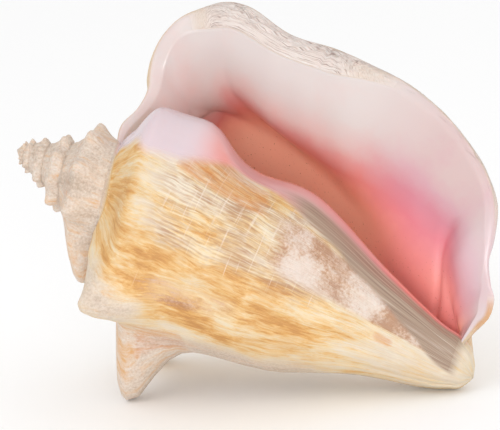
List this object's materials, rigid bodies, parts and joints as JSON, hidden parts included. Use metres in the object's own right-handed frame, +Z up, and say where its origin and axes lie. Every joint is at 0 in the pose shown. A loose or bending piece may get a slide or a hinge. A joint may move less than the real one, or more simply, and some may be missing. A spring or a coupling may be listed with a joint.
{
  "type": "conch shell",
  "caption": "Large spiral sea shell with a knobbed spire, blunt shoulder spines and a broad flared lip around an open pink aperture, lying on its spines and canal.",
  "frame": {"origin": "middle of the plan box at the height of the table it lies on", "axes": "+Z up from the table; +X from the spire's apex towards the canal; the aperture opens towards -Y and up, and the back of the last whorl faces +Y"},
  "size_m": [0.2056, 0.1346, 0.1673],
  "materials": {
    "shell": "dull chalky outside, glossy like porcelain around the aperture"
  },
  "bodies": {
    "root": {"conch_shell": "shell"}
  },
  "joints": []
}
